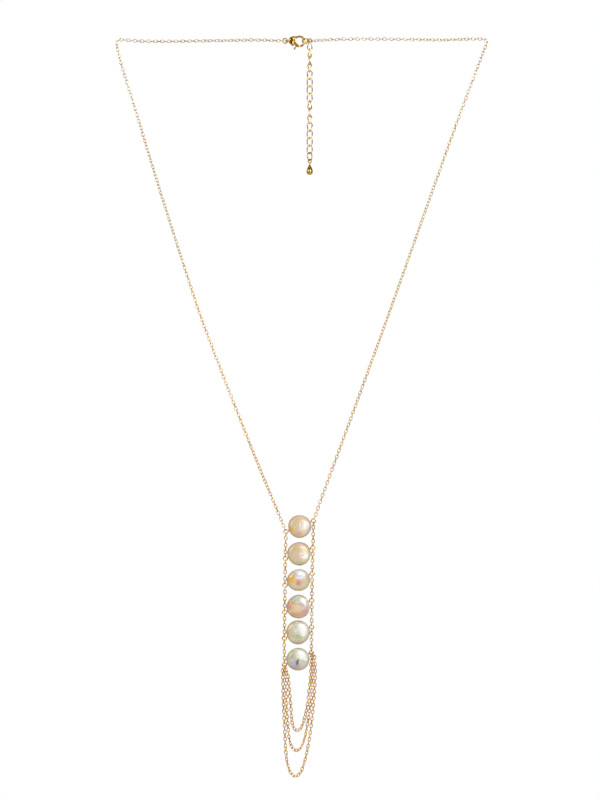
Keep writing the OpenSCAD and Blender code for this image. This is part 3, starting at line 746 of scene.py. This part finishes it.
# Silk: roughness of the nacre. Coat: strength of the clear outer skin.
# Patches: tint, place right and up, half width and height, lean in degrees, strength
# Folds: place right and up, half width and height, lean, lift. Rings: place, reach, pitch, lift.
# All are in millimetres from the pearl's middle.
# Each pearl's white and bluish-white patches are painted highlights, laid where the soft boxes shine on it.
pearl_looks = [
    dict(body="beige", silk=0.4, coat=0.1, rings=(2.5, 0.3, 3.4, 1.15, 0.11), folds=[
        (2.5, 0.3, 2.0, 2.6, 0, 0.16), (-0.2, -1.2, 0.5, 2.8, 12, -0.07), (-2.3, -0.8, 1.2, 1.0, 0, -0.05)],
        patches=[
            ("peach", -2.6, 3.0, 2.4, 1.7, 20, 0.55), ("lime", -2.4, -0.2, 1.8, 1.6, 0, 0.7),
            ("orange", -4.4, -1.7, 1.8, 2.6, 20, 0.95), ("rose", -1.2, -3.8, 2.4, 1.6, 0, 0.55),
            ("pink", 0.0, -0.4, 1.2, 3.4, 10, 0.5), ("peach", 1.4, -4.7, 2.4, 0.9, 0, 0.3),
            ("painted_highlight_white", 2.4, 0.2, 3.1, 3.7, 0, 0.65), ("cream", 0.4, 0.4, 0.5, 2.8, 8, 0.95),
            ("sage", 1.3, 0.6, 0.45, 2.2, -12, 0.85), ("sage", 3.5, 0.4, 0.35, 1.4, 14, 0.6),
            ("painted_highlight_blue", 2.5, 1.0, 0.9, 1.2, 0, 0.8), ("sage", 2.6, -1.8, 1.7, 0.45, 15, 0.75),
            ("lilac", 4.4, -1.8, 1.1, 2.0, -30, 0.6)]),
    dict(body="beige", silk=0.36, coat=0.15, rings=(1.4, 0.1, 4.0, 0.95, 0.1), folds=[
        (1.4, 0.1, 0.7, 0.7, 0, -0.1), (-2.5, 0.5, 2.6, 0.35, 0, -0.04), (-2.5, -0.7, 2.6, 0.35, 0, -0.04),
        (0.4, -4.0, 2.2, 0.6, 0, -0.07)],
        patches=[
            ("pink", 0.9, 4.5, 3.2, 1.5, 0, 0.9), ("pink", -4.0, 2.9, 1.5, 1.4, 40, 0.7),
            ("olive", -1.6, 2.7, 3.4, 1.2, 15, 0.7), ("straw", 3.4, 2.8, 1.6, 1.6, 0, 0.6),
            ("sage", -3.0, -0.2, 2.8, 1.4, 0, 0.7), ("pink", -0.2, -1.4, 1.9, 1.3, 0, 0.8),
            ("orange", -3.5, -3.7, 1.7, 0.8, -35, 0.7), ("moss", 0.2, -4.4, 2.6, 1.1, 0, 0.9),
            ("lime", 2.8, -3.3, 2.0, 1.1, 15, 0.6), ("cream", 2.4, 0.2, 3.0, 2.9, 0, 0.9),
            ("painted_highlight_white", 3.1, -1.1, 1.9, 2.2, 0, 1.0), ("mauve", 1.3, 1.0, 1.0, 0.4, 15, 0.65),
            ("mauve", 1.7, -0.5, 0.9, 0.4, -15, 0.65), ("painted_highlight_white", 0.7, 0.3, 0.6, 0.7, 0, 0.9),
            ("painted_highlight_white", 2.0, 0.3, 0.5, 0.6, 0, 0.9), ("lime", 0.0, 0.2, 0.35, 0.9, 10, 0.5)]),
    dict(body="beige", silk=0.3, coat=0.35, rings=(0.4, -1.0, 2.0, 1.0, 0.02), folds=[
        (0.3, -1.0, 1.1, 0.9, 0, -0.12), (-3.4, 0.5, 1.0, 1.7, 0, 0.08), (0.8, 2.4, 2.4, 1.7, 0, 0.07)],
        patches=[
            ("tan", 0.0, -4.2, 3.6, 1.6, 0, 0.5), ("straw", -3.7, 2.2, 1.8, 1.7, 0, 0.8),
            ("lime", -2.6, -2.8, 2.2, 1.6, 0, 0.35), ("lime", 3.4, -2.2, 2.2, 2.0, 0, 0.6),
            ("tan", 3.8, 1.0, 1.8, 1.8, 0, 0.8), ("silver", 0.4, 4.6, 3.4, 1.3, 0, 0.95),
            ("pink", -2.0, 3.0, 1.2, 1.2, 0, 0.5), ("painted_highlight_blue", 1.3, 2.6, 3.4, 2.4, 0, 1.0),
            ("lilac", -0.8, 2.9, 0.9, 0.9, 0, 0.45), ("sky", 0.9, 2.7, 1.3, 1.1, 0, 0.5),
            ("amber", -3.2, 0.5, 1.7, 2.1, 0, 1.0), ("orange", -4.5, -0.9, 1.3, 1.6, 0, 0.8),
            ("rose", 0.0, -1.2, 1.8, 1.7, 0, 1.0), ("pink", 1.6, -0.4, 1.6, 1.3, 0, 0.85),
            ("brick", -1.5, -1.0, 0.7, 1.3, 0, 0.4)]),
    dict(body="tan", silk=0.42, coat=0.2, rings=(-1.2, -1.0, 2.8, 1.4, 0.02), folds=[
        (1.0, 1.2, 3.4, 0.6, -38, -0.1), (-1.2, -1.0, 1.9, 1.5, 0, 0.08), (1.8, 3.1, 2.0, 1.4, -35, 0.08)],
        patches=[
            ("mauve", -3.0, 3.4, 2.2, 1.5, 30, 0.6), ("brick", -4.4, 0.6, 2.0, 2.9, 0, 0.9),
            ("brick", -1.4, -3.8, 3.8, 1.9, 0, 0.95), ("rose", 2.6, -3.3, 2.4, 1.7, 0, 0.6),
            ("peach", 0.3, -5.1, 3.0, 0.8, 0, 0.6), ("tan", -0.8, -0.8, 3.0, 2.5, 0, 1.0),
            ("teal", -0.7, 3.7, 2.5, 2.0, 0, 1.0), ("painted_highlight_white", 2.6, 3.3, 2.2, 1.6, -25, 1.0),
            ("silver", 4.4, 1.4, 1.2, 2.2, 30, 0.8), ("silver", 1.0, 2.4, 1.9, 1.1, -20, 0.6),
            ("sky", 2.4, 1.3, 1.2, 1.3, 20, 0.6), ("lilac", 3.1, 0.2, 1.8, 1.9, 20, 0.95),
            ("rose", 0.6, 1.1, 2.3, 0.8, -30, 0.7), ("mauve", 3.2, -1.9, 2.0, 1.7, 0, 0.95),
            ("brick", -2.6, 1.9, 2.2, 0.8, -15, 0.75), ("moss", -2.4, 2.9, 1.2, 0.6, 0, 0.5)]),
    dict(body="sage", silk=0.3, coat=0.35, rings=(-1.0, 0.4, 2.4, 1.6, 0.02), folds=[
        (-1.4, -0.3, 2.6, 0.5, -25, -0.09), (2.2, 2.0, 2.2, 2.2, 0, 0.08), (0.8, -2.0, 1.6, 1.0, 0, -0.07)],
        patches=[
            ("tan", -3.5, 3.0, 2.2, 1.9, 30, 0.8), ("silver", -1.0, 2.6, 2.4, 2.6, 0, 0.8),
            ("lime", -2.8, 0.4, 1.8, 1.5, 0, 0.5), ("orange", -5.1, -0.6, 1.1, 2.6, 0, 0.8),
            ("mauve", -2.6, -1.9, 1.9, 0.9, -20, 0.6), ("straw", -3.2, -3.2, 1.8, 1.1, -20, 0.9),
            ("mauve", 0.4, -4.6, 3.8, 1.4, 0, 0.6), ("moss", 0.3, -2.0, 3.0, 1.7, 0, 1.0),
            ("painted_highlight_white", 2.6, 1.8, 3.2, 3.8, 0, 1.0), ("painted_highlight_white", 3.0, -1.0, 1.3, 1.7, 35, 0.7),
            ("teal", -1.2, -0.1, 1.5, 0.8, -20, 0.6), ("painted_highlight_blue", -1.1, 0.9, 0.8, 1.3, 0, 0.5),
            ("slate", -1.0, 2.9, 0.6, 1.3, 20, 0.3), ("lilac", 4.1, -2.6, 1.5, 1.7, 0, 0.4)]),
    dict(body="sage", silk=0.3, coat=0.35, rings=(1.2, 1.8, 2.8, 1.5, 0.02), folds=[
        (-0.6, -0.7, 0.5, 1.7, -18, -0.2), (3.1, -1.2, 1.5, 0.9, 0, -0.1), (2.2, 2.2, 2.5, 1.9, 0, 0.08),
        (-2.6, -1.8, 1.2, 1.5, 0, 0.05)],
        patches=[
            ("moss", -3.0, 2.0, 2.8, 2.6, 20, 0.6), ("silver", 0.0, 5.0, 3.0, 0.8, 0, 0.7),
            ("lime", -1.8, 3.0, 1.5, 1.2, 20, 0.6), ("mauve", -1.0, -4.3, 3.6, 1.4, 0, 0.8),
            ("orange", -5.0, -1.6, 0.9, 1.6, 0, 0.5), ("pink", 1.9, -3.2, 1.8, 1.4, 0, 0.7),
            ("slate", -1.2, -1.9, 3.6, 2.6, -15, 1.0), ("mauve", -1.8, -3.4, 2.4, 1.2, 0, 0.75),
            ("painted_highlight_white", 2.2, 2.2, 3.7, 2.7, -12, 1.0), ("painted_highlight_white", 4.2, 0.4, 1.3, 1.5, 0, 0.8),
            ("teal", 3.1, -1.3, 2.3, 1.3, 0, 0.9), ("sky", -2.3, -1.4, 1.8, 2.1, 0, 0.95),
            # The near-black patch below lies along this pearl's crease: painted shade.
            ("painted_highlight_blue", -2.7, -0.3, 0.6, 0.6, 0, 0.4), ("crease_shade", -0.2, -1.1, 1.15, 2.3, -24, 0.95),
            ("silver", 0.9, -1.4, 0.8, 1.4, -18, 0.5)]),
]


def pearl_point(toward, pearl):
    """Point of a coin pearl's surface in a direction from its middle."""
    angle = math.degrees(math.atan2(toward.z, toward.x))
    lobed = 1 - pearl.lobe * (1 - math.cos(math.radians(LOBES * (angle - pearl.lobe_at))))
    wide, high = pearl.wide * MM, pearl.high * MM
    guess = Vector((toward.x * wide / 2 * lobed, toward.y * PEARL_THICK / 2, toward.z * high / 2 * lobed))
    flat = math.hypot(toward.x, toward.z)
    # the share of the guess at which the coin's curve is met, found by halving
    near, far = 0.5, 2.0
    for _ in range(HALVINGS):
        t = (near + far) / 2
        if (t * flat) ** FLAT_POWER + (t * abs(toward.y)) ** DOME_POWER > 1:
            far = t
        else:
            near = t
    return guess * t


def pearl_lift(x, z, back, look):
    """How far the nacre's own folds and rings raise the surface, in millimetres."""
    ring_x, ring_z, ring_reach, ring_pitch, ring_lift = look["rings"]
    curl = math.atan2(z - ring_z, x - ring_x)
    away = math.hypot(x - ring_x, z - ring_z) * (1 + RING_OVAL * math.sin(2 * curl + ring_x))
    lift = ring_lift * max(0.0, 1 - away / ring_reach) * math.cos(math.tau * away / ring_pitch + curl)
    for fold_x, fold_z, wide, high, turn, fold_lift in look["folds"]:
        turn = math.radians(turn)
        dx, dz = x - fold_x, z - fold_z
        across = (dx * math.cos(turn) + dz * math.sin(turn)) / wide
        up = (dz * math.cos(turn) - dx * math.sin(turn)) / high
        lift += fold_lift * math.exp(-FOLD_FADE * (across ** 2 + up ** 2))
    return lift * (BACK_RELIEF if back else 1)


def pearl_skin(i):
    """One pearl's surface, with the two drilled mouths and the wall of the bore between them."""
    pearl, look = pearls[i], pearl_looks[i]
    climb = math.radians(pearl.climb)
    bm = bmesh.new()
    bmesh.ops.create_uvsphere(bm, u_segments=AROUND, v_segments=ALONG, radius=1)
    poles = [v for v in bm.verts if abs(v.co.z) > POLE]
    bmesh.ops.delete(bm, geom=poles, context="VERTS")
    mouth_verts = [v for e in bm.edges if e.is_boundary for v in e.verts]
    # the sphere's poles go to the ends of the pin, where the drill went in
    to_pin = Matrix.Rotation(-climb, 3, "Y") @ Matrix.Rotation(math.radians(90), 3, "Y")
    for v in bm.verts:
        toward = (to_pin @ v.co).normalized()
        co = pearl_point(toward, pearl)
        lift = pearl_lift(co.x / MM, co.z / MM, co.y > 0, look)
        lift += SKIN_LIFT * noise.noise(Vector((co.x, co.y + i * MM, co.z)) / SKIN_GRAIN)
        v.co = co + Vector((0, toward.y * lift * MM, -pearl.below * MM))
    turned = Matrix.Rotation(math.radians(pearl.turn), 4, "X") @ Matrix.Rotation(climb, 4, "Y")
    bmesh.ops.transform(bm, matrix=pin_place(pearl) @ turned, verts=bm.verts)
    axis, middle = pin_axis(pearl), pin_middle(pearl)
    for v in mouth_verts:
        along = (v.co - middle).dot(axis)
        out = (v.co - middle - along * axis).normalized()
        v.co = middle + along * axis + out * PEARL_BORE / 2
    bmesh.ops.bridge_loops(bm, edges=[e for e in bm.edges if e.is_boundary])
    bmesh.ops.recalc_face_normals(bm, faces=bm.faces)
    return bm


def nacre_group():
    """One soft-edged patch of colour laid over another, in the plane of the pearl's face."""
    group = bpy.data.node_groups.new("nacre patch", "ShaderNodeTree")
    for name, kind in (("Place", "Vector"), ("Under", "Color"), ("Tint", "Color"), ("Centre", "Vector"),
                       ("Half Size", "Vector"), ("Lean", "Vector"), ("Strength", "Float")):
        group.interface.new_socket(name=name, in_out="INPUT", socket_type="NodeSocket" + kind)
    group.interface.new_socket(name="Color", in_out="OUTPUT", socket_type="NodeSocketColor")
    given = group.nodes.new("NodeGroupInput").outputs
    local = add_node(
        group, "ShaderNodeMapping", Vector=given["Place"], Location=given["Centre"],
        Rotation=given["Lean"], Scale=given["Half Size"])
    local.vector_type = "TEXTURE"
    away = add_node(group, "ShaderNodeVectorMath", local.outputs[0], operation="LENGTH")
    fade = add_node(
        group, "ShaderNodeMapRange", Value=away.outputs["Value"], From_Min=PATCH_FULL,
        From_Max=PATCH_GONE, To_Min=given["Strength"], To_Max=0.0)
    fade.interpolation_type = "SMOOTHSTEP"
    laid = mix_colours(group, fade.outputs[0], given["Under"], given["Tint"])
    add_node(group, "NodeGroupOutput", Color=laid)
    return group


nacre_patch = nacre_group()


def pearl_finish(i):
    """Nacre of one pearl: its own patches, among them painted highlights and a painted shade, an edge
    browner partly by painted shade, fine grain and a soft coat.
    """
    pearl, look = pearls[i], pearl_looks[i]
    material, tree, shader = new_finish(f"nacre {i + 1}")
    place = add_node(tree, "ShaderNodeTexCoord").outputs["Object"]
    centred = add_node(
        tree, "ShaderNodeMapping", Vector=place, Location=(-pearl.x, 0, pearl.below - pearl.z),
        Scale=(1 / MM, 0, 1 / MM)).outputs[0]
    clouds = add_node(
        tree, "ShaderNodeTexNoise", Vector=place, Scale=520.0, Detail=3.0, Roughness=0.5)
    drift = add_node(
        tree, "ShaderNodeVectorMath", clouds.outputs["Color"], CLOUD_MIDDLE, operation="SUBTRACT")
    stirred = add_node(
        tree, "ShaderNodeVectorMath", drift.outputs[0], (STIR, 0, STIR), centred,
        operation="MULTIPLY_ADD").outputs[0]
    nacre = (*tints[look["body"]], 1)
    # Some of these patches are painted highlights, and one is painted shade in a crease.
    for tint, x, z, wide, high, turn, strength in look["patches"]:
        nacre = add_group(
            tree, nacre_patch, Place=stirred, Under=nacre, Tint=(*tints[tint], 1), Centre=(x, 0, z),
            Half_Size=(wide, 1, high), Lean=(0, -math.radians(turn), 0), Strength=strength).outputs[0]
    away = add_node(tree, "ShaderNodeVectorMath", centred, operation="LENGTH").outputs["Value"]
    # Darkens towards the edge: partly the nacre's own browner edge, partly painted shade.
    rim_shade = add_node(
        tree, "ShaderNodeMapRange", Value=away, From_Min=pearl.high * RIM_SHADE_FROM,
        From_Max=pearl.wide * RIM_SHADE_TO, To_Max=RIM_SHADE_STRENGTH)
    rim_shade.interpolation_type = "SMOOTHSTEP"
    grain = add_node(tree, "ShaderNodeTexNoise", Vector=place, Scale=900.0, Detail=2.0, Roughness=0.5)
    rough = add_node(
        tree, "ShaderNodeMapRange", Value=grain.outputs[0], To_Min=look["silk"] - SILK_SPREAD,
        To_Max=look["silk"] + SILK_SPREAD)
    set_inputs(
        tree, shader, Base_Color=mix_colours(tree, rim_shade.outputs[0], nacre, RIM_TINT_AND_SHADE),
        Roughness=rough.outputs[0], Metallic=0.15, Specular_IOR_Level=0.7, Coat_Weight=look["coat"],
        Coat_Roughness=0.28, Thin_Film_Thickness=420, Thin_Film_IOR=1.5)
    return material


for i in range(len(pearls)):
    finish_piece(pearl_skin(i), f"pearl_{i + 1}_nacre", pearl_finish(i), [f"pearl_{i + 1}"])

# Short chains beside the pearls.
# Seven soldered links of the same plated chain join each loop to the loop below it, on both sides.
# The wire looks heavier here and in the swags than along the neck, so it is drawn heavier.
SHORT_LINKS = 7
HEAVIER = 0.06 * MM
LIVELY_TURN = 20
untwisted = [(0, 0), (1, 0)]
full_link = link_mesh(
    LINK_LEN + HEAVIER, LINK_WID + HEAVIER, LINK_WIRE + HEAVIER, LINK_STEPS, LINK_SIDES)
for name, side, seed in (("left", -1, 10), ("right", 1, 15)):
    for i, (upper, lower) in enumerate(zip(pearls, pearls[1:])):
        top, low = loop_at(upper, side), loop_at(lower, side)
        down = (low - top).normalized()
        first, last = top + LOOP_REACH * down, low - LOOP_REACH * down
        joints = [first.lerp(last, k / SHORT_LINKS) for k in range(SHORT_LINKS + 1)]
        node = f"{name}_chain_{i + 1}"
        finish_piece(
            chain_of(joints, untwisted, seed + i, full_link, LIVELY_TURN), node + "_links",
            chain_gold, [node])

# Swags.
# Three lengths of the plated cable chain hang as loops from the last pearl's two eyes, each inside
# the next, and their end links hook the eyes side by side. Where the loops are tightest, the links
# lie at 45 degrees to the bend.
inner_route = [
    (-6.75, -318), (-6.25, -322.5), (-5.75, -328.5), (-5.25, -334.5), (-4.95, -338.5),
    (-4.5, -342), (-3.5, -344.4), (-1.95, -345.2), (-0.5, -344.2), (0.6, -342), (1.5, -339),
    (2.4, -335), (3.3, -329.5), (4.1, -322.5), (4.7, -315),
]
middle_route = [
    (-7.95, -320), (-7.75, -327), (-7.45, -334), (-7, -341), (-6.4, -347.5), (-5.9, -350.5),
    (-4.9, -353.6), (-3, -355.4), (-1.1, -354.9), (0.5, -352.4), (1.6, -349), (2.5, -345),
    (3.4, -339.5), (4.2, -334), (4.9, -327.5), (5.45, -320), (5.8, -314),
]
outer_route = [
    (-9.25, -320), (-9.15, -327.5), (-8.85, -336), (-8.4, -345), (-8, -353), (-7.5, -359),
    (-6.6, -363.5), (-5.3, -366.6), (-3.2, -368.2), (-1, -366.9), (0.5, -364), (1.7, -360),
    (2.8, -355.5), (3.9, -349.5), (4.9, -342.5), (5.8, -334), (6.4, -325.7), (6.8, -319),
    (6.85, -313),
]
# Ends, left then right: hook beside the loop's middle, reach over its wire, lean right, lean back
inner_ends = [(0.6, 0.76, 0.19, -0.85), (-0.31, 0.68, 0.03, -0.96)]
middle_ends = [(0, 0.58, 0, 0.95), (0.29, 0.61, 0.15, 1)]
outer_ends = [(-0.6, 0.76, -0.24, -0.4), (0.85, 0.8, 0.65, -0.3)]
bend_twist = [(0, 0), (0.3, 0), (0.46, 45), (0.54, 45), (0.7, 0), (1, 0)]
middle_twist = [(0, 0), (0.3, 0), (0.46, 45), (0.54, 45), (0.7, 0), (0.9, 0), (1, 5)]
# Swags: CAD node, ends, route, how far back it hangs in millimetres, twist, seed of its loose turns
swags = [
    ("swag_inner", inner_ends, inner_route, -1.2, bend_twist, 40),
    ("swag_middle", middle_ends, middle_route, 1.0, middle_twist, 41),
    ("swag_outer", outer_ends, outer_route, -0.4, bend_twist, 40),
]


def swag_joint(side, end, reach):
    """Point on a swag's end link, at a distance from the inside of the loop that it hooks."""
    hook_x, over, lean_x, lean_y = end
    drop = math.sqrt(LOOP_R ** 2 - (hook_x * MM) ** 2)
    down = Vector((lean_x, lean_y, -1)).normalized()
    return loop_at(pearls[-1], side) + Vector((hook_x * MM, 0, -drop)) + (reach - over * MM) * down


for node, ends, route, depth, twist, seed in swags:
    path = smooth_curve(
        [swag_joint(-1, ends[0], LINK_PAST), swag_joint(-1, ends[0], LINK_PAST + LINK_PITCH)]
        + [Vector((x, depth, z)) * MM for x, z in route]
        + [swag_joint(1, ends[1], LINK_PAST + LINK_PITCH), swag_joint(1, ends[1], LINK_PAST)])
    finish_piece(
        chain_of(joints_along(path), twist, seed, full_link, LIVELY_TURN), node + "_links",
        chain_gold, [node])
bpy.data.meshes.remove(full_link)
